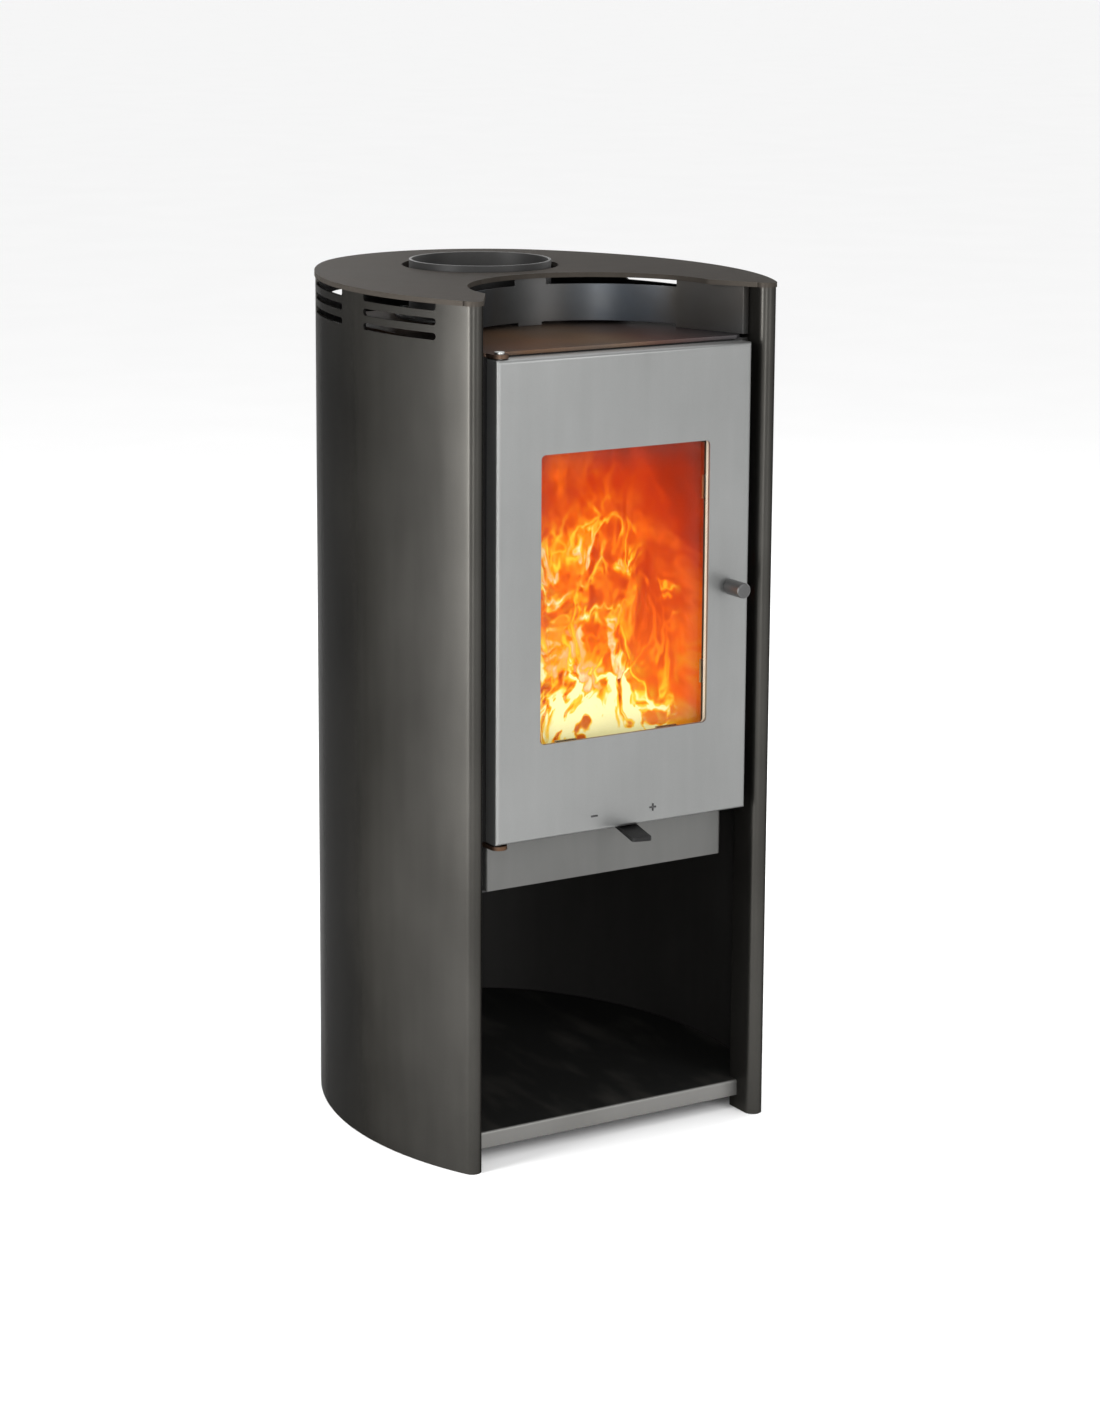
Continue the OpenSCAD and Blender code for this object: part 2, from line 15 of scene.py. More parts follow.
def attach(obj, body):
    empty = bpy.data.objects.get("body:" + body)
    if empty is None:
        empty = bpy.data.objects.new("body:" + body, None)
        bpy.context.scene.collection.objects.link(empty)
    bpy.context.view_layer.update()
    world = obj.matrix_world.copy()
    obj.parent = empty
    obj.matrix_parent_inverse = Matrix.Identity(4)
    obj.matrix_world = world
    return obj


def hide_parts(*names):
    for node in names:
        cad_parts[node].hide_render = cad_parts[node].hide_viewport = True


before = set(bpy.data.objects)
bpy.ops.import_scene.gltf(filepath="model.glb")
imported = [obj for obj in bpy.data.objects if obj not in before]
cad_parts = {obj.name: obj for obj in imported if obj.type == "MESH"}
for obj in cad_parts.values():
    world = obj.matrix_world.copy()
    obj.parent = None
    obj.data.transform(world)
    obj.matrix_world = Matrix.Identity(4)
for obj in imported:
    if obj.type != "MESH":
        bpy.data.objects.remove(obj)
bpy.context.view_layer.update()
MM = 0.001

# %% [markdown]
# ## Camera
# The camera stands to the left of the stove, a little above its top, and looks
# down. Its matrix is built from three angles, so every number has a meaning.
# A small vertical shift keeps the uprights nearly parallel.


# %% Place the camera
def camera_matrix(place, yaw, pitch, roll):
    """Columns are the camera's right, up and back, turned by yaw, then pitch, then roll."""
    look = np.array([math.sin(yaw) * math.cos(pitch), math.cos(yaw) * math.cos(pitch), -math.sin(pitch)])
    right = np.array([math.cos(yaw), -math.sin(yaw), 0.0])
    down = np.cross(look, right)
    across = math.cos(roll) * right + math.sin(roll) * down
    up = math.sin(roll) * right - math.cos(roll) * down
    matrix = Matrix.Identity(4)
    for row in range(3):
        matrix[row] = (across[row], up[row], -look[row], place[row])
    return matrix


CAMERA_PLACE = (-1.7829, -2.9552, 1.2546)
YAW, PITCH, ROLL = 0.5469, 0.1865, -0.0058
camera = bpy.data.objects.new("camera", bpy.data.cameras.new("camera"))
bpy.context.collection.objects.link(camera)
camera.matrix_world = camera_matrix(CAMERA_PLACE, YAW, PITCH, ROLL)
camera.data.sensor_width = 36.0
camera.data.lens = 85.54
camera.data.shift_y = -0.12
camera.data.dof.use_dof = False
bpy.context.scene.camera = camera
print("lens:", camera.data.lens, "shift:", camera.data.shift_y)

# %% [markdown]
# ## Light and floor
# Sheet steel shows its shape through soft reflections. Large lamps, close to
# the stove, give wide smooth highlights on the rolled front edges. The world
# is pale, so the metal has something bright to mirror.


# %% Build the lamps
def softbox(name, place, target, size, power):
    """A rectangular lamp at place that faces target."""
    data = bpy.data.lights.new(name, "AREA")
    data.shape = "RECTANGLE"
    data.size, data.size_y = size
    data.energy = power
    lamp = bpy.data.objects.new(name, data)
    bpy.context.collection.objects.link(lamp)
    back = np.array(place, float) - np.array(target, float)
    back /= np.linalg.norm(back)
    side = np.cross((0.0, 0.0, 1.0), back)
    side /= np.linalg.norm(side)
    top = np.cross(back, side)
    matrix = Matrix.Identity(4)
    for row in range(3):
        matrix[row] = (side[row], top[row], back[row], place[row])
    lamp.matrix_world = matrix


softbox("lamp_front", (0.9, -3.0, 1.7), (0.0, 0.0, 0.45), (1.0, 2.4), 44.0)
softbox("lamp_left", (-2.7, -0.35, 0.75), (-0.2, -0.1, 0.45), (0.6, 2.4), 105.0)
softbox("lamp_roll", (-1.5, -2.6, 1.0), (0.0, -0.16, 0.5), (0.2, 2.6), 36.0)
softbox("lamp_top", (0.2, 0.4, 3.0), (0.0, 0.0, 0.8), (2.2, 2.2), 22.0)
softbox("lamp_right", (3.0, 0.3, 1.6), (0.0, 0.0, 0.5), (0.8, 2.4), 24.0)
softbox("lamp_back", (0.6, 3.2, 2.0), (0.0, 0.0, 0.5), (2.0, 2.0), 24.0)

world = bpy.data.worlds.new("studio")
world.use_nodes = True
world.node_tree.nodes["Background"].inputs["Color"].default_value = (0.98, 0.98, 0.98, 1.0)
world.node_tree.nodes["Background"].inputs["Strength"].default_value = 1.0
bpy.context.scene.world = world
bpy.context.scene.view_settings.view_transform = "Standard"

# %% [markdown]
# ## Writing a finish as a formula
# A procedural finish is a sum of patterns. The class below wraps one output
# socket of a shader tree, so that `0.4 + 0.1 * grain` adds the Math nodes that
# work it out. Colours go through a Mix node, which keeps all three channels.


# %% One class for sockets, one for a finish
class Tone:
    """A value in a shader tree. Each operator adds one Math node."""

    def __init__(self, tree, socket):
        self.tree = tree
        self.socket = socket

    def math(self, operation, other=0.0, swapped=False, clamp=False):
        node = self.tree.nodes.new("ShaderNodeMath")
        node.operation = operation
        node.use_clamp = clamp
        pair = (other, self) if swapped else (self, other)
        for place, value in zip(node.inputs, pair):
            plug(self.tree, place, value)
        return Tone(self.tree, node.outputs[0])

    def __add__(self, other):
        return self.math("ADD", other)

    def __mul__(self, other):
        return self.math("MULTIPLY", other)

    def __sub__(self, other):
        return self.math("SUBTRACT", other)

    def __rsub__(self, other):
        return self.math("SUBTRACT", other, swapped=True)

    def __pow__(self, other):
        return self.math("POWER", other)

    def __abs__(self):
        return self.math("ABSOLUTE")

    __radd__ = __add__
    __rmul__ = __mul__

    def step(self, low, high):
        """0 below low, 1 above high and a straight line between."""
        return ((self - low) * (1.0 / (high - low))).math("ADD", 0.0, clamp=True)


def plug(tree, place, value):
    """Links a Tone to an input, or sets the input to a number or a colour."""
    if isinstance(value, Tone):
        tree.links.new(value.socket, place)
    elif isinstance(value, (tuple, list)) and place.type == "RGBA" and len(value) == 3:
        place.default_value = (*value, 1.0)
    else:
        place.default_value = value


class Finish:
    """A material that grows by one method: node type, settings, then inputs."""

    def __init__(self, name, **numbers):
        self.material = bpy.data.materials.new(name)
        self.material.use_nodes = True
        self.tree = self.material.node_tree
        self.shader = self.tree.nodes["Principled BSDF"]
        for key, value in numbers.items():
            plug(self.tree, self.shader.inputs[key.replace("_", " ")], value)

    def add(self, kind, settings, inputs, out=0):
        node = self.tree.nodes.new("ShaderNode" + kind)
        for key, value in settings.items():
            if key == "stops":
                self.stops(node.color_ramp, value)
            else:
                setattr(node, key, value)
        for key, value in inputs.items():
            plug(self.tree, node.inputs[key], value)
        return Tone(self.tree, node.outputs[out])

    def stops(self, ramp, stops):
        while len(ramp.elements) < len(stops):
            ramp.elements.new(0.5)
        for element, (place, colour) in zip(ramp.elements, stops):
            element.position = place
            element.color = (*colour, 1.0)

    def place(self, stretch=(1.0, 1.0, 1.0)):
        coordinate = self.add("TexCoord", {}, {}, "Object")
        return self.add("Mapping", {}, {"Vector": coordinate, "Scale": stretch})

    def axis(self, name):
        return self.add("SeparateXYZ", {}, {"Vector": self.place()}, name)

    def noise(self, scale, detail=3.0, stretch=(1.0, 1.0, 1.0), rough=0.5):
        inputs = {"Vector": self.place(stretch), "Scale": scale, "Detail": detail, "Roughness": rough}
        return self.add("TexNoise", {}, inputs)

    def cells(self, scale, stretch=(1.0, 1.0, 1.0)):
        return self.add("TexVoronoi", {}, {"Vector": self.place(stretch), "Scale": scale})

    def mix(self, first, second, amount):
        return self.add("Mix", {"data_type": "RGBA"}, {0: amount, 6: first, 7: second}, 2)

    def ramp(self, value, stops):
        return self.add("ValToRGB", {"stops": stops}, {"Fac": value})

    def wear(self, colour=None, rough=None, metal=None, height=None, depth=0.1, distance=0.0004):
        """Links the patterns to the shader; height drives a Bump node."""
        for name, value in (("Base Color", colour), ("Roughness", rough), ("Metallic", metal)):
            if value is not None:
                plug(self.tree, self.shader.inputs[name], value)
        if height is not None:
            bump = self.add("Bump", {}, {"Height": height, "Strength": depth, "Distance": distance})
            plug(self.tree, self.shader.inputs["Normal"], bump)
        return self.material


# %% [markdown]
# ## Steel finishes
# Painted and bare sheet both have three scales of detail: wide clouds where
# heat and hands changed the surface, a fine orange-peel or rolling grain, and
# a few tiny specks of dust and ash. One function makes them all, and each
# sheet differs by its colours, its gloss and the strength of its grain.


# %% A function for sheet steel
DUST = 0.24


def sheet_steel(name, dark, light, gloss, metal, grain=900.0, depth=0.12, mirror=0.5, rim=1.0, drawn=1.0):
    """Cloud noise mixes dark and light; fine noise, stretched along Y by drawn, moves gloss and bump."""
    f = Finish(name, Specular_IOR_Level=mirror, Specular_Tint=(rim, rim, rim))
    cloud = f.noise(5.0, 4.0)
    fine = f.noise(grain, 3.0, (1.0, drawn, 1.0), 0.6)
    streak = f.noise(60.0, 3.0, (1.0, 1.0, 0.12))
    dust = f.cells(650.0).step(0.10, 0.04)
    tone = (cloud * 0.55 + fine * 0.25 + streak * 0.2).step(0.32, 0.68)
    base = f.mix(dark, light, tone)
    pale = tuple(min(1.0, channel * 1.7 + 0.02) for channel in light)
    colour = f.mix(base, pale, dust * f.noise(17.0).step(0.45, 0.7) * DUST)
    rough = gloss + (fine - 0.5) * 0.16 + (cloud - 0.5) * 0.12 + dust * 0.1
    return f.wear(colour, rough, metal - dust * 0.3, fine + dust * 0.4, depth)


shell_finish = sheet_steel(
    "shell_paint", (0.030, 0.0288, 0.0262), (0.054, 0.052, 0.0475), 0.33, 0.9, 1400.0, depth=0.10, rim=0.12
)
top_finish = sheet_steel(
    "top_paint", (0.032, 0.028, 0.024), (0.055, 0.048, 0.041), 0.56, 0.5, 1100.0, 0.1, mirror=0.05, rim=0.15
)
dark_finish = sheet_steel("black_steel", (0.012, 0.012, 0.012), (0.028, 0.027, 0.026), 0.5, 0.35, 800.0)
lever_finish = sheet_steel("lever_black", (0.004, 0.004, 0.004), (0.009, 0.009, 0.009), 0.55, 0.1, mirror=0.2)
# the shell's inner face: darker than its outside paint
inside_finish = sheet_steel("dark_inside", (0.010, 0.0095, 0.009), (0.02, 0.019, 0.018), 0.6, 0.2, mirror=0.2)
door_finish = sheet_steel("door_steel", (0.165, 0.168, 0.165), (0.212, 0.216, 0.213), 0.38, 0.8, 1500.0, 0.05)
apron_finish = sheet_steel("apron_steel", (0.08, 0.08, 0.077), (0.115, 0.115, 0.111), 0.42, 0.6, 1300.0, 0.06)
tray_finish = sheet_steel("tray_steel", (0.09, 0.09, 0.088), (0.17, 0.165, 0.16), 0.45, 0.7, 700.0)
zinc_finish = sheet_steel("zinc", (0.42, 0.43, 0.42), (0.6, 0.61, 0.6), 0.32, 0.95, 500.0)
knob_finish = sheet_steel(
    "knob_steel", (0.055, 0.055, 0.055), (0.09, 0.09, 0.09), 0.34, 0.75, 1200.0, 0.1, drawn=0.1
)
print("steel finishes made")

# %% The floor of the log store: a clean lip, and painted shade on the floor behind it
LIP_Y = (-0.1475, -0.146)  # metres
f = Finish("log_floor_steel", Specular_IOR_Level=0.25)
# painted shade: behind the lip, under the firebox, the floor is painted near-black
store_shade_mask = f.axis("Y").step(*LIP_Y)
fine = f.noise(900.0, 3.0)
scuff = f.noise(30.0, 5.0, (1.0, 0.3, 1.0)).step(0.5, 0.75)
lip = f.mix((0.13, 0.128, 0.12), (0.2, 0.197, 0.19), f.noise(8.0))
# the colour of the painted shade, with lighter real scuffs in it
deep = f.mix((0.008, 0.008, 0.0075), (0.03, 0.028, 0.025), scuff)
rough = 0.42 + store_shade_mask * 0.2 + (fine - 0.5) * 0.15
floor_finish = f.wear(f.mix(lip, deep, store_shade_mask), rough, 0.7 - store_shade_mask * 0.5, fine, 0.1)
print("floor of the log store made")

# %% [markdown]
# ## Heat-tinted steel
# Bare steel grows a film of oxide when it is hot. The film's thickness sets
# its colour: straw, brown, purple, then blue. A colour ramp over warped bands
# gives that order, and the ramp's place follows the heat of the firebox.


# %% The recess wall and the firebox top
# the wall's round part has its centre at x = 0, y = -RECESS_Y; all in metres
RECESS_Y = 0.119
# WALL_R and LEG_Y bound the painted shade on the outside of the wall's arc
WALL_R = (0.1352, 0.1362)
LEG_Y = (-0.074, -0.070)


def tinted_steel(name, reach, stops, gloss, back_shade=0.0):
    """A ramp over x, warped by noise, mixed with plain grey by reach; the last argument scales a painted shade
    on the arc's outside.
    """
    f = Finish(name, Specular_Tint=(0.3, 0.3, 0.3))
    warp = f.noise(9.0, 4.0)
    fine = f.noise(900.0, 2.0)
    band = f.axis("X") * 3.4 + 0.5 + (warp - 0.5) * 0.35
    tint = f.ramp(band, stops)
    plain = f.mix((0.05, 0.053, 0.054), (0.075, 0.078, 0.08), f.noise(40.0, 3.0))
    colour = f.mix(plain, tint, f.noise(6.0).step(0.3, 0.62) * reach)
    # painted shade: the arc's outside, inside the shell and seen through its slots, is painted near-black
    radius = (f.axis("X") ** 2.0 + (f.axis("Y") + RECESS_Y) ** 2.0) ** 0.5
    painted_back_shade = radius.step(*WALL_R) * f.axis("Y").step(*LEG_Y) * back_shade
    colour = f.mix(colour, (0.012, 0.011, 0.01), painted_back_shade)
    return f.wear(colour, gloss + (fine - 0.5) * 0.15 + painted_back_shade * 0.2, 0.8 - painted_back_shade * 0.6, fine, 0.08)


wall_stops = [
    (0.0, (0.05, 0.08, 0.13)),
    (0.16, (0.055, 0.075, 0.10)),
    (0.36, (0.06, 0.055, 0.05)),
    (0.6, (0.055, 0.052, 0.05)),
    (0.78, (0.05, 0.066, 0.092)),
    (0.92, (0.07, 0.062, 0.054)),
    (1.0, (0.05, 0.045, 0.04)),
]
top_stops = [
    (0.0, (0.075, 0.04, 0.022)),
    (0.3, (0.12, 0.066, 0.036)),
    (0.5, (0.13, 0.085, 0.056)),
    (0.72, (0.09, 0.05, 0.04)),
    (1.0, (0.06, 0.05, 0.055)),
]
wall_finish = tinted_steel("tinted_wall", 0.85, wall_stops, 0.36, 1.0)
recess_floor_finish = tinted_steel("tinted_floor", 1.0, top_stops, 0.4)
print("tinted finishes made")

# %% [markdown]
# ## Brick, iron, rope and glass
# Vermiculite board is pressed from flakes, so it has gold-brown specks and a
# crumbly bump. Cast iron keeps the grain of the sand mould. Gasket rope is a
# pale glass fibre braid. The pane is clear, with a brown film of soot that is
# thickest at its edges.

# %% The firebox materials
f = Finish("vermiculite")
flake = f.cells(260.0)
crumb = f.noise(120.0, 5.0)
soot = (f.noise(9.0, 3.0) + f.axis("Z") * 0.6).step(0.6, 1.1)
board = f.mix((0.42, 0.33, 0.22), (0.66, 0.55, 0.4), (flake * 1.6 + crumb * 0.6).step(0.3, 1.2))
sooted = f.mix(board, (0.05, 0.04, 0.035), soot * 0.75)
brick_finish = f.wear(sooted, 0.9 - flake * 0.1, 0.0, flake + crumb, 0.5, 0.001)

f = Finish("cast_iron")
sand = f.noise(420.0, 4.0, rough=0.7)
iron = f.mix((0.02, 0.019, 0.018), (0.06, 0.05, 0.045), f.noise(30.0))
iron_finish = f.wear(iron, 0.62 + (sand - 0.5) * 0.3, 0.55, sand, 0.5, 0.0008)

f = Finish("gasket_rope")
waves = {"Vector": f.place(), "Scale": 190.0, "Distortion": 1.5, "Detail": 1.0}
braid = f.add("TexWave", {"bands_direction": "DIAGONAL"}, waves, 1)
fibre = f.mix((0.36, 0.3, 0.22), (0.72, 0.66, 0.54), braid * 0.7 + f.noise(90.0) * 0.3)
gasket_finish = f.wear(fibre, 0.92 - braid * 0.06, 0.0, braid, 0.7, 0.0008)

f = Finish("stove_glass", Base_Color=(0.03, 0.02, 0.012), Roughness=0.06, IOR=1.5, Specular_IOR_Level=0.6)
WINDOW_Z, FILM_X, FILM_Z = 0.5795, (0.070, 0.106), (0.110, 0.152)  # metres
edge_x = abs(f.axis("X")).step(*FILM_X)
edge_z = abs(f.axis("Z") - WINDOW_Z).step(*FILM_Z)
film = (edge_x * edge_x + edge_z * edge_z) * 0.30 + f.noise(26.0, 4.0).step(0.5, 0.8) * 0.05
plug(f.tree, f.shader.inputs["Alpha"], 0.06 + film)
glass_finish = f.material
glass_finish.surface_render_method = "BLENDED"
print("brick, iron, rope and glass made")

# %% [markdown]
# ## Giving the CAD nodes their finishes
# Each node takes the finish of its real material. The table is in one place,
# so it is easy to see that no node was missed.

# %% The table of finishes
finish_of = {
    "top_plate": top_finish,
    "flue_collar": dark_finish,
    "collar_bolts": zinc_finish,
    "recess_wall": wall_finish,
    "firebox_body": dark_finish,
    "firebox_top": recess_floor_finish,
    "firebox_front": dark_finish,
    "floor_plate": floor_finish,
    "log_store_roof": dark_finish,
    "drawer_rails": tray_finish,
    "heat_shield": tray_finish,
    "shield_spacers": zinc_finish,
    "brick_left": brick_finish,
    "brick_right": brick_finish,
    "brick_back": brick_finish,
    "brick_back_corners": brick_finish,
    "brick_floor": brick_finish,
    "grate": iron_finish,
    "log_bar": iron_finish,
    "baffle": brick_finish,
    "baffle_supports": iron_finish,
    "hinge_lugs": recess_floor_finish,
    "hinge_pins": zinc_finish,
    "latch_keeper": zinc_finish,
    "air_port_plate": dark_finish,
    "lever_pin": zinc_finish,
    "door_panel": door_finish,
    "door_frame": dark_finish,
    "door_glass": glass_finish,
    "glass_gasket": gasket_finish,
    "glass_clips": zinc_finish,
    "door_screws": zinc_finish,
    "rope_seal": gasket_finish,
    "hinge_sleeves": dark_finish,
    "latch_tongue": zinc_finish,
    "door_knob": knob_finish,
    "knob_screw": zinc_finish,
    "air_lever": lever_finish,
    "air_valve": tray_finish,
    "drawer_front": apron_finish,
    "drawer_tray": tray_finish,
    "drawer_rivets": zinc_finish,
}


def dress(piece, material):
    """The piece's mesh gets one slot with this material."""
    piece.data.materials.clear()
    piece.data.materials.append(material)


for name, material in finish_of.items():
    dress(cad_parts[name], material)
print("nodes without a finish:", sorted(set(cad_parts) - set(finish_of)))

# %% [markdown]
# ## Rounding the edges of sheet parts
# No real edge is perfectly sharp: a hair-thin round catches the light and
# makes steel look like steel. A CAD mesh is loose triangles, so a copy is
# merged first, and then a Bevel modifier rounds only its sharp edges. The
# Weighted Normal modifier then keeps the wide faces flat beside the bends.


# %% Make softened copies
def softened(name, body, width, angle=32.0, segments=2):
    """A merged copy of the node, with its sharp edges rounded by width."""
    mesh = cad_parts[name].data.copy()
    work = bmesh.new()
    work.from_mesh(mesh)
    bmesh.ops.remove_doubles(work, verts=work.verts, dist=1e-6)
    bmesh.ops.dissolve_limit(work, angle_limit=math.radians(0.4), verts=work.verts, edges=work.edges)
    work.to_mesh(mesh)
    work.free()
    mesh.polygons.foreach_set("use_smooth", np.ones(len(mesh.polygons), bool))
    piece = bpy.data.objects.new(name + "_rounded", mesh)
    bpy.context.collection.objects.link(piece)
    bevel = piece.modifiers.new("rounded_edges", "BEVEL")
    bevel.width = width
    bevel.segments = segments
    bevel.limit_method = "ANGLE"
    bevel.angle_limit = math.radians(angle)
    flat_faces = piece.modifiers.new("flat_faces", "WEIGHTED_NORMAL")
    flat_faces.weight = 100
    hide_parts(name)
    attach(piece, body)
    return piece


rounded = {
    "top_plate": ("stove", 0.0009),
    "flue_collar": ("stove", 0.0006),
    "recess_wall": ("stove", 0.0004),
    "firebox_top": ("stove", 0.0005),
    "floor_plate": ("stove", 0.0006),
    "door_panel": ("door", 0.0006),
    "door_knob": ("door", 0.0006),
    "drawer_front": ("ash_drawer", 0.0006),
    "air_lever": ("air_control", 0.0006),
}
for name, (body, width) in rounded.items():
    piece = softened(name, body, width)
    print(piece.name, len(piece.data.polygons), "faces")

# %% [markdown]
# ## The shell
# On the real stove one sheet of 3 mm steel is rolled round the sides and the
# back. Its slots are cut while it is flat. The surface is made the same way:
# a plan line gives each length u along the sheet its place on the floor plan,
# and bands of flat grid between the slot rows give the heights. Where two
# bands meet outside a slot their edges are merged, and inside a slot they
# part by the slot's round outline, so the holes need no cutting.


# %% The plan line of the sheet
def arc(centre, radius, start, stop, count):
    """Points at even angles: centre plus radius times cosine and sine."""
    turn = np.radians(np.linspace(start, stop, count))
    return np.stack([centre[0] + radius * np.cos(turn), centre[1] + radius * np.sin(turn)], 1)


SIDE_C, SIDE_R = np.array([-135.6, -10.0]), 352.6
BACK_C, BACK_R = np.array([0.0, 100.0]), 178.0
ROLL_C, ROLL_R = np.array([171.0, -164.0]), 9.5
FLANGE = 29.0
roll_end = math.degrees(math.atan2(*(ROLL_C - SIDE_C)[::-1]))
join = math.degrees(math.atan2(*(BACK_C - SIDE_C)[::-1]))
u_roll = FLANGE
u_side = u_roll + ROLL_R * math.radians(180.0 + roll_end)
u_back = u_side + SIDE_R * math.radians(join - roll_end)
u_middle = u_back + BACK_R * math.radians(90.0 - join)
half_line = np.concatenate(
    [
        [[ROLL_C[0] - ROLL_R, ROLL_C[1] + FLANGE]],
        arc(ROLL_C, ROLL_R, -180.0, roll_end, 400),
        arc(SIDE_C, SIDE_R, roll_end, join, 2000)[1:],
        arc(BACK_C, BACK_R, join, 90.0, 1000)[1:],
    ]
)
line = np.concatenate([half_line, (half_line * [-1.0, 1.0])[::-1][1:]])
length = np.concatenate([[0.0], np.cumsum(np.linalg.norm(np.diff(line, axis=0), axis=1))])
print("flat length of the sheet, mm:", round(length[-1], 1))

# %% The slots on the flat sheet
SLOT_H, SLOT_R = 7.0, 3.45
SIDE_ANGLES, BACK_ANGLES = (-20.4, -2.6, 5.0, 22.8), (47.5, 82.5)
side_slots = [u_side + SIDE_R * math.radians(angle - roll_end) for angle in SIDE_ANGLES]
back_slots = [u_back + BACK_R * math.radians(angle - join) for angle in BACK_ANGLES]
right = [side_slots[:2], side_slots[2:], back_slots]
slots = right + [[length[-1] - b, length[-1] - a] for a, b in right[::-1]]
edges = np.array(slots)
corner = np.concatenate([[0.0], SLOT_R * (1.0 - np.cos(np.linspace(0.0, math.pi / 2, 9)))])[1:]
near = (edges[:, :1] + corner).ravel(), (edges[:, 1:] - corner).ravel()
steps = np.concatenate(
    [
        np.linspace(0.0, u_roll, 6),
        np.linspace(u_roll, u_side, 28),
        np.linspace(u_side, length[-1] - u_side, 420),
        np.linspace(length[-1] - u_side, length[-1] - u_roll, 28),
        np.linspace(length[-1] - u_roll, length[-1], 6),
        *near,
        edges.ravel() + np.tile([-0.02, 0.02], len(edges)),
    ]
)
u = np.unique(np.round(steps, 3))
inside = ((u[:, None] >= edges[:, 0]) & (u[:, None] <= edges[:, 1])).any(1)
gap = np.abs(u[:, None] - edges.ravel()).min(1)
reach = np.clip(SLOT_R - gap, 0.0, SLOT_R)
bulge = np.where(inside, np.sqrt(SLOT_R**2 - reach**2), 0.0)
print("columns on the sheet:", len(u))


# %% The bands of sheet between the slot rows
def band(low, high, rows):
    """Heights that go evenly from the curve low(u) to the curve high(u)."""
    t = np.linspace(0.0, 1.0, rows)[:, None]
    return low * (1.0 - t) + high * t


def band_mesh(heights):
    """Points and quads of one band: column u gives the plan, heights give z."""
    rows = len(heights)
    plan = np.stack([np.interp(u, length, line[:, k]) for k in (0, 1)], 1)
    points = np.concatenate([np.broadcast_to(plan, (rows, *plan.shape)), heights[..., None]], 2)
    index = np.arange(rows * len(u)).reshape(rows, len(u))
    quads = np.stack([index[:-1, 1:], index[1:, 1:], index[1:, :-1], index[:-1, :-1]], -1)
    return points.reshape(-1, 3), quads.reshape(-1, 4)


def sheet_mesh(name, parts):
    """Several grids in millimetres in one mesh, merged where their points meet."""
    points, quads, base = [], [], 0
    for p, q in parts:
        points.append(p)
        quads.append(q + base)
        base += len(p)
    mesh = bpy.data.meshes.new(name)
    mesh.from_pydata((np.concatenate(points) * MM).tolist(), [], np.concatenate(quads).tolist())
    work = bmesh.new()
    work.from_mesh(mesh)
    bmesh.ops.remove_doubles(work, verts=work.verts, dist=5e-6)
    work.to_mesh(mesh)
    work.free()
    mesh.polygons.foreach_set("use_smooth", np.ones(len(mesh.polygons), bool))
    return mesh


ROW_LOW, ROW_HIGH, NOTCH_LOW, SHELL_TOP = 842.9, 857.2, 868.0, 875.0
notch_floor = np.where(inside, NOTCH_LOW + SLOT_R - bulge, SHELL_TOP)
flat = np.zeros_like(u)
bands = [
    band_mesh(band(flat, flat + ROW_LOW - bulge, 12)),
    band_mesh(band(flat + ROW_LOW + bulge, flat + ROW_HIGH - bulge, 4)),
    band_mesh(band(flat + ROW_HIGH + bulge, notch_floor, 4)),
]
shell = bpy.data.objects.new("shell_sheet", sheet_mesh("shell_sheet", bands))
bpy.context.collection.objects.link(shell)
wall = shell.modifiers.new("thickness", "SOLIDIFY")
wall.thickness = 0.003
wall.offset = -1.0
wall.use_even_offset = True
bevel = shell.modifiers.new("rounded_edges", "BEVEL")
bevel.width = 0.0004
bevel.segments = 2
bevel.limit_method = "ANGLE"
bevel.angle_limit = math.radians(50.0)
bevel.harden_normals = True
dress(shell, shell_finish)
shell.data.materials.append(inside_finish)
wall.material_offset = 1
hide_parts("outer_shell")
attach(shell, "stove")
print("shell faces:", len(shell.data.polygons))

# %% [markdown]
# ## The minus and the plus
# The air lever swings between two small marks on the door. They are thin
# raised strokes in black enamel: a flat outline, made solid with Solidify.


# %% Make the marks
MARK, STROKE, MARK_X, MARK_Z, DOOR_FACE = 7.6, 1.7, 35.0, 353.0, -173.0


def bar(x, z, wide, high):
    """A flat rectangle round x, z on the face of the door."""
    corners = np.array([[-1, -1], [1, -1], [1, 1], [-1, 1]]) * [wide / 2, high / 2]
    points = np.stack([x + corners[:, 0], np.full(4, DOOR_FACE), z + corners[:, 1]], 1)
    return points, np.array([[0, 1, 2, 3]])


f = Finish("black_enamel")
speck = f.noise(1500.0, 2.0)
black = f.mix((0.006, 0.006, 0.006), (0.02, 0.02, 0.02), speck)
enamel = f.wear(black, 0.35 + speck * 0.1, 0.0, speck, 0.05)
arm = (MARK - STROKE) / 2
marks = {
    "minus_mark": [bar(-MARK_X, MARK_Z, MARK, STROKE)],
    "plus_mark": [
        bar(MARK_X, MARK_Z, STROKE, STROKE),
        bar(MARK_X - STROKE / 2 - arm / 2, MARK_Z, arm, STROKE),
        bar(MARK_X + STROKE / 2 + arm / 2, MARK_Z, arm, STROKE),
        bar(MARK_X, MARK_Z - STROKE / 2 - arm / 2, STROKE, arm),
        bar(MARK_X, MARK_Z + STROKE / 2 + arm / 2, STROKE, arm),
    ],
}
for name, parts in marks.items():
    mark = bpy.data.objects.new(name, sheet_mesh(name, parts))
    bpy.context.collection.objects.link(mark)
    thick = mark.modifiers.new("thickness", "SOLIDIFY")
    thick.thickness = 0.0006
    thick.offset = 1.0
    dress(mark, enamel)
    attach(mark, "door")
print("marks:", sorted(marks))

# %% [markdown]
# ## The logs and the embers
# A log is a tube along a slightly bent line, with ridges of bark round it and
# a flat sawn face at each end. The radius is a sum of waves, so one formula
# gives each log its own shape. The bed of embers is a low mound.


# %% Make the logs
FULL_TURN = 6.28


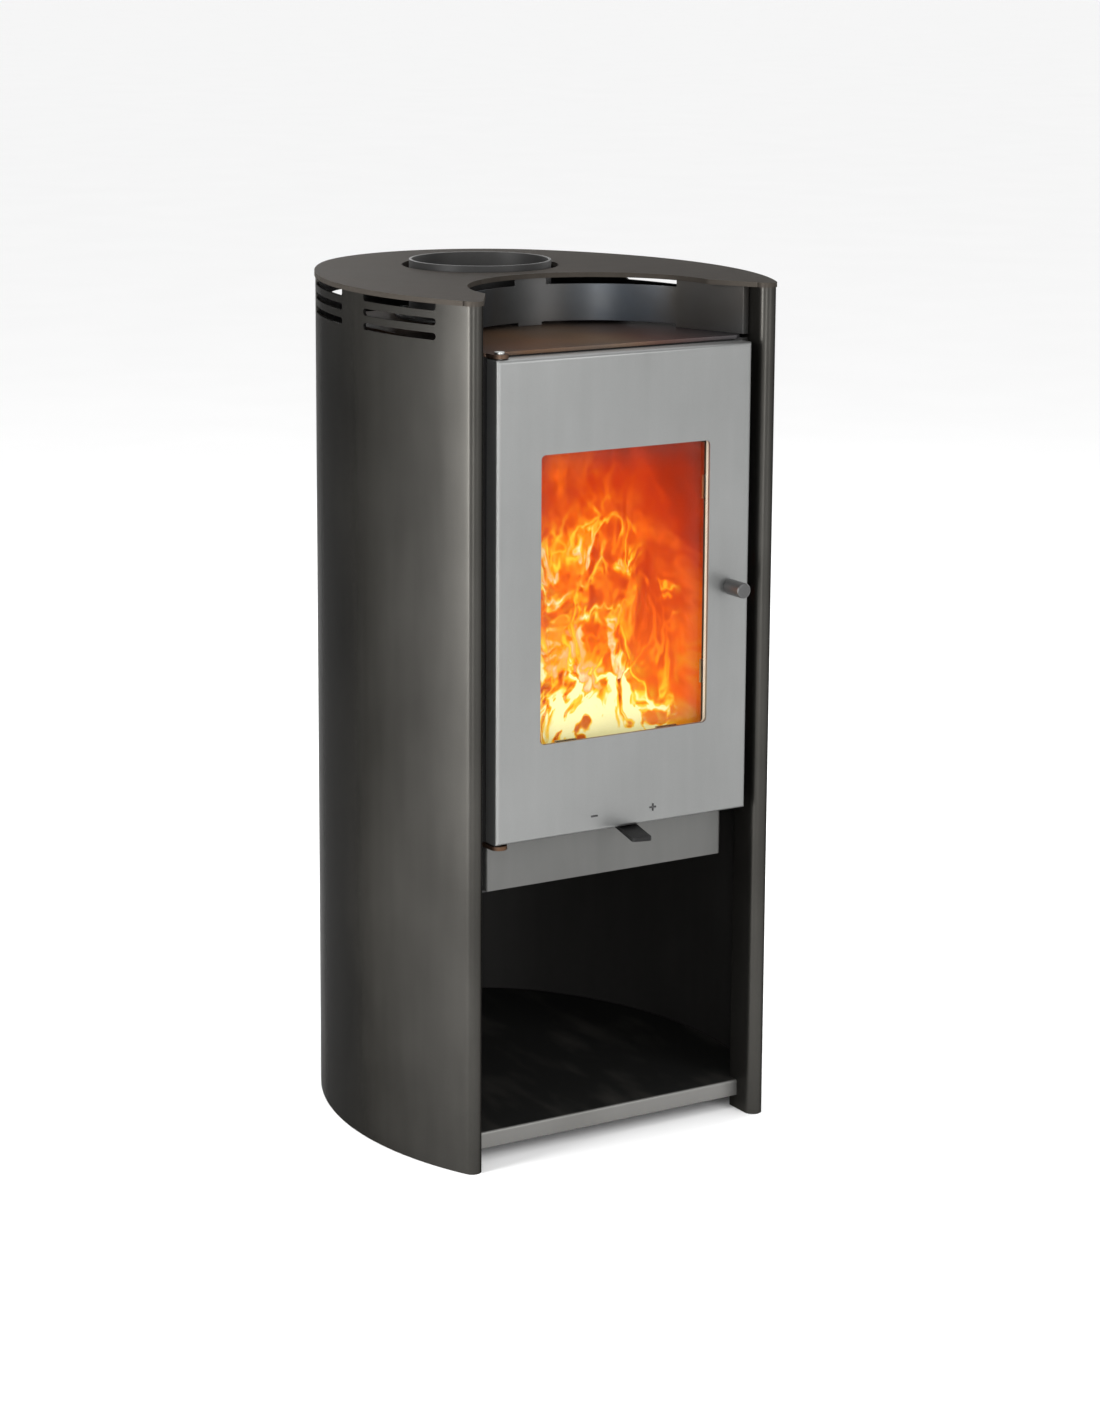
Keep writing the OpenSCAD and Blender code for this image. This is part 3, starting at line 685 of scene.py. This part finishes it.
def log_mesh(start, stop, radius, seed):
    """Radius times waves round and along the log; rings that shrink to a point close each end."""
    chance = np.random.default_rng(seed)
    s = np.concatenate([np.zeros(5), np.linspace(0.0, 1.0, 70), np.ones(5)])
    close = np.concatenate([np.linspace(0.0, 0.97, 5), np.ones(70), np.linspace(0.97, 0.0, 5)])
    t = np.linspace(0.0, 2.0 * math.pi, 96, endpoint=False)
    wave = np.zeros((len(s), len(t)))
    for turns in (2, 3, 5, 9, 14, 23):
        phase, drift = chance.uniform(0.0, FULL_TURN), chance.uniform(-5.0, 5.0)
        knots = np.sin(9.0 * s[:, None] + phase)
        wave += np.sin(turns * t[None, :] + phase + drift * s[:, None] + knots) / turns**0.75
    r = radius * close[:, None] * (1.0 + 0.05 * wave)
    start, stop = np.array(start, float), np.array(stop, float)
    along = (stop - start) / np.linalg.norm(stop - start)
    side = np.cross(along, (0.0, 0.0, 1.0))
    side /= np.linalg.norm(side)
    up = np.cross(side, along)
    bend = 5.0 * np.sin(math.pi * s)[:, None] * up
    middle = start + (stop - start) * s[:, None] + bend
    outward = np.cos(t)[None, :, None] * side + np.sin(t)[None, :, None] * up
    points = middle[:, None] + r[..., None] * outward
    index = np.arange(points.shape[0] * len(t)).reshape(points.shape[:2])
    nxt = np.roll(index, -1, axis=1)
    quads = np.stack([index[:-1], nxt[:-1], nxt[1:], index[1:]], -1)
    return points.reshape(-1, 3), quads.reshape(-1, 4)


f = Finish("burning_wood", Emission_Strength=3.0)
bark = f.noise(70.0, 6.0, rough=0.65)
crack = f.cells(90.0, (0.5, 1.0, 1.0))
glow = (1.0 - crack * 2.6).step(0.35, 0.9) * f.noise(14.0, 3.0).step(0.45, 0.62)
char = f.mix((0.012, 0.009, 0.007), (0.10, 0.06, 0.035), bark.step(0.4, 0.75))
fire = f.ramp(glow, [(0.0, (0.0, 0.0, 0.0)), (0.4, (0.5, 0.05, 0.0)), (1.0, (1.0, 0.42, 0.06))])
plug(f.tree, f.shader.inputs["Emission Color"], fire)
wood_finish = f.wear(char, 0.85 - bark * 0.1, 0.0, bark + crack, 0.8, 0.003)

logs = {
    "log_left": ((-104.0, 20.0, 388.0), (86.0, -62.0, 390.0), 27.0, 1),
    "log_right": ((104.0, 60.0, 386.0), (-70.0, 108.0, 392.0), 25.0, 2),
    "log_top": ((-82.0, 66.0, 436.0), (92.0, -30.0, 430.0), 22.0, 3),
}
for name, (start, stop, radius, seed) in logs.items():
    log = bpy.data.objects.new(name, sheet_mesh(name, [log_mesh(start, stop, radius, seed)]))
    bpy.context.collection.objects.link(log)
    dress(log, wood_finish)
    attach(log, "stove")
print("logs:", sorted(logs))


# %% Make the bed of embers
def mound_mesh(centre, wide, deep, high, seed):
    """Height falls from the middle to the rim as 1 minus v squared, plus noise."""
    chance = np.random.default_rng(seed)
    t = np.linspace(0.0, 2.0 * math.pi, 120, endpoint=False)
    v = np.concatenate([np.linspace(0.0, 1.0, 50), [0.0]])[:, None]
    x, y = v * wide * np.cos(t), v * deep * np.sin(t)
    draws = ((-0.4, 0.4), (-0.4, 0.4), (0.0, FULL_TURN))
    waves = [[chance.uniform(*span) for span in draws] for _ in range(14)]
    bump = sum(np.sin(x * along + y * back + phase) for along, back, phase in waves)
    z = high * (1.0 - v**2) + 1.1 * bump * (1.0 - v**4) + 3.0
    z[-1] = 0.0
    points = np.stack([centre[0] + x, centre[1] + y, centre[2] + z], -1)
    index = np.arange(points.shape[0] * len(t)).reshape(points.shape[:2])
    nxt = np.roll(index, -1, axis=1)
    quads = np.stack([index[:-1], index[1:], nxt[1:], nxt[:-1]], -1)
    return points.reshape(-1, 3), quads.reshape(-1, 4)


f = Finish("embers", Emission_Strength=4.5)
coal = f.cells(75.0)
heat = f.noise(22.0, 3.0).step(0.38, 0.66)
glow = coal.step(0.25, 0.75) * heat
fire = f.ramp(glow, [(0.0, (0.02, 0.0, 0.0)), (0.35, (0.8, 0.12, 0.01)), (1.0, (1.0, 0.62, 0.16))])
plug(f.tree, f.shader.inputs["Emission Color"], fire)
ash = f.mix((0.03, 0.025, 0.02), (0.35, 0.33, 0.3), coal.step(0.1, 0.6))
ember_finish = f.wear(ash, 0.95 - coal * 0.1, 0.0, coal, 0.9, 0.004)
mound = mound_mesh((0.0, 30.0, 349.5), 118.0, 118.0, 24.0, 5)
embers = bpy.data.objects.new("ember_bed", sheet_mesh("ember_bed", [mound]))
bpy.context.collection.objects.link(embers)
dress(embers, ember_finish)
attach(embers, "stove")
print("embers made")

# %% [markdown]
# ## The flames
# A flame is a thin glowing sheet with no clear edge. One sheet lines the
# firebox and glows like the burning gas in front of the bricks. Three wavy
# sheets stand one behind the other over the logs. Their colour and opacity
# come from ridged noise that is bent by more noise: the ridges are the bright
# tangled licks. Every sheet reads its own UV map, so the licks rise with it.


# %% A sheet that stands on a line
LICK_WIDE, LICK_HIGH = 95.0, 150.0


def flame_mesh(name, plan, low, high, sway, seed):
    """Column s takes its place from the plan; height t adds a growing sway."""
    chance = np.random.default_rng(seed)
    s, t = np.meshgrid(np.linspace(0.0, 1.0, 90), np.linspace(0.0, 1.0, 50))
    at = s * (len(plan) - 1)
    x, y = (np.interp(at, np.arange(len(plan)), plan[:, k]) for k in (0, 1))
    x = x + sway * np.sin(2.6 * t + chance.uniform(0.0, FULL_TURN)) * t * (1.0 - t)
    across = np.sin(9.0 * s + chance.uniform(0.0, FULL_TURN))
    upward = np.sin(6.0 * t + chance.uniform(0.0, FULL_TURN))
    y = y + sway * 0.5 * (across + upward)
    points = np.stack([x, y, low + (high - low) * t], -1).reshape(-1, 3) * MM
    index = np.arange(s.size).reshape(s.shape)
    quads = np.stack([index[:-1, :-1], index[:-1, 1:], index[1:, 1:], index[1:, :-1]], -1).reshape(-1, 4)
    mesh = bpy.data.meshes.new(name)
    mesh.from_pydata(points.tolist(), [], quads.tolist())
    layer = mesh.uv_layers.new(name="UVMap")
    uv = np.stack([s.ravel(), t.ravel()], 1)[quads.ravel()]
    layer.data.foreach_set("uv", uv.astype(np.float32).ravel())
    mesh.polygons.foreach_set("use_smooth", np.ones(len(mesh.polygons), bool))
    return mesh


def flame_finish(name, size, seed, strength, fill, licks, low, veil, dim):
    """Ridged, bent noise gives the licks; height fades them out, dim darkens one side."""
    f = Finish(
        name, Base_Color=(0.0, 0.0, 0.0), Roughness=1.0, Specular_IOR_Level=0.0, Emission_Strength=strength
    )
    where = f.add("TexCoord", {}, {}, "UV")
    stretch = (size[0] / LICK_WIDE, size[1] / LICK_HIGH, 1.0)
    shift = (seed * 3.1, seed * 1.7, 0.0)
    moved = f.add("Mapping", {}, {"Vector": where, "Location": shift, "Scale": stretch})
    warp = f.add("TexNoise", {}, {"Vector": moved, "Scale": 1.6, "Detail": 3.0}, 1)
    bent = f.add("VectorMath", {"operation": "MULTIPLY_ADD"}, {0: warp, 1: (1.1, 1.1, 0.0), 2: moved})
    soft = f.add("TexNoise", {}, {"Vector": bent, "Scale": 1.5, "Detail": 4.0, "Roughness": 0.55})
    thread = f.add("TexNoise", {}, {"Vector": bent, "Scale": 3.2, "Detail": 3.0, "Roughness": 0.5})
    ridge = (1.0 - abs(thread * 2.0 - 1.0) * 3.2).math("MAXIMUM", 0.0) ** 1.5
    across = f.add("SeparateXYZ", {}, {"Vector": where}, "X")
    height = f.add("SeparateXYZ", {}, {"Vector": where}, "Y")
    rim = (1.0 - abs(across * 2.0 - 1.0)).step(0.0, 0.12)
    fall = (1.0 - height).step(0.0, 0.9)
    base = (1.0 - height * (1.0 / low)).step(0.0, 1.0)
    body = soft.step(0.42, 0.66) * (fill + ridge * licks) + ridge * licks * 0.35
    flame = body * (0.3 + 0.7 * fall) * (1.0 - across * dim)
    power = flame + base * (0.3 + 0.7 * ridge) * 0.75 + veil * (0.42 - 0.36 * across * height)
    colour = f.ramp(
        power.step(0.0, 1.08),
        [
            (0.0, (0.16, 0.004, 0.0)),
            (0.2, (0.62, 0.035, 0.001)),
            (0.38, (1.0, 0.13, 0.002)),
            (0.6, (1.0, 0.33, 0.006)),
            (0.8, (1.0, 0.62, 0.04)),
            (1.0, (1.0, 0.92, 0.45)),
        ],
    )
    plug(f.tree, f.shader.inputs["Emission Color"], colour)
    cover = power.step(0.05, 0.75) * rim * (1.0 - height).step(0.0, 0.25)
    plug(f.tree, f.shader.inputs["Alpha"], cover * (1.0 - veil) + veil)
    f.material.surface_render_method = "BLENDED"
    return f.material


# %% Stand the flames over the logs
LINING_X, LINING_FRONT, LINING_DEPTH, SQUARE = 117.0, -138.0, 232.0, 0.6
turn = np.radians(np.linspace(-90.0, 90.0, 181))
lining_x = LINING_X * np.sign(np.sin(turn)) * np.abs(np.sin(turn)) ** SQUARE
lining_y = LINING_FRONT + LINING_DEPTH * np.abs(np.cos(turn)) ** SQUARE


def row(half_width, y):
    """The two ends of a straight line across the firebox."""
    return np.array([[-half_width, y], [half_width, y]])


# shape: plan line, lowest and highest z, sway, seed
# look: size, strength, fill, licks, low, veil, dim
lining = np.stack([lining_x, lining_y], 1)
flames = {
    "fire_glow": ((lining, 352.0, 716.0, 1.0, 11), ((620.0, 366.0), 1.1, 0.35, 0.3, 0.3, 0.96, 0.5)),
    "flame_back": (
        (row(112.0, 58.0), 372.0, 708.0, 12.0, 23),
        ((224.0, 330.0), 1.15, 0.5, 1.0, 0.75, 0.0, 0.2),
    ),
    "flame_middle": (
        (row(113.0, -34.0), 380.0, 700.0, 12.0, 37),
        ((226.0, 310.0), 1.25, 0.5, 1.25, 0.8, 0.0, 0.25),
    ),
    "flame_front": (
        (row(114.0, -100.0), 372.0, 672.0, 9.0, 53),
        ((228.0, 290.0), 1.35, 0.4, 1.4, 0.75, 0.0, 0.3),
    ),
}
for name, (shape, (size, *look)) in flames.items():
    flame = bpy.data.objects.new(name, flame_mesh(name, *shape))
    bpy.context.collection.objects.link(flame)
    dress(flame, flame_finish(name + "_colour", size, shape[-1], *look))
    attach(flame, "stove")
print("flames:", sorted(flames))

# %% [markdown]
# ## The floor
# The floor is pale and plain, so the shadow under the stove shows that it
# stands on something. It is much wider than the view.


# %% Make the floor
FLOOR_RADIUS = 60.0


def disc_mesh(name, radius):
    """Rings of growing radius round the origin, on the plane z = 0."""
    ring = radius * np.linspace(0.0, 1.0, 24)[1:, None] ** 2
    t = np.linspace(0.0, 2.0 * math.pi, 96, endpoint=False)
    points = np.stack([ring * np.cos(t), ring * np.sin(t), 0.0 * ring * t], -1)
    index = np.arange(points.shape[0] * len(t)).reshape(points.shape[:2])
    nxt = np.roll(index, -1, axis=1)
    quads = np.stack([index[:-1], index[1:], nxt[1:], nxt[:-1]], -1).reshape(-1, 4).tolist()
    mesh = bpy.data.meshes.new(name)
    mesh.from_pydata(points.reshape(-1, 3).tolist(), [], quads + [index[0].tolist()])
    return mesh


floor = bpy.data.objects.new("studio_floor", disc_mesh("studio_floor", FLOOR_RADIUS))
bpy.context.collection.objects.link(floor)
f = Finish("pale_floor")
grain = f.noise(3.0, 2.0)
dress(floor, f.wear(f.mix((0.92, 0.92, 0.92), (0.95, 0.95, 0.95), grain), 0.7 + grain * 0.1))
print("floor made")
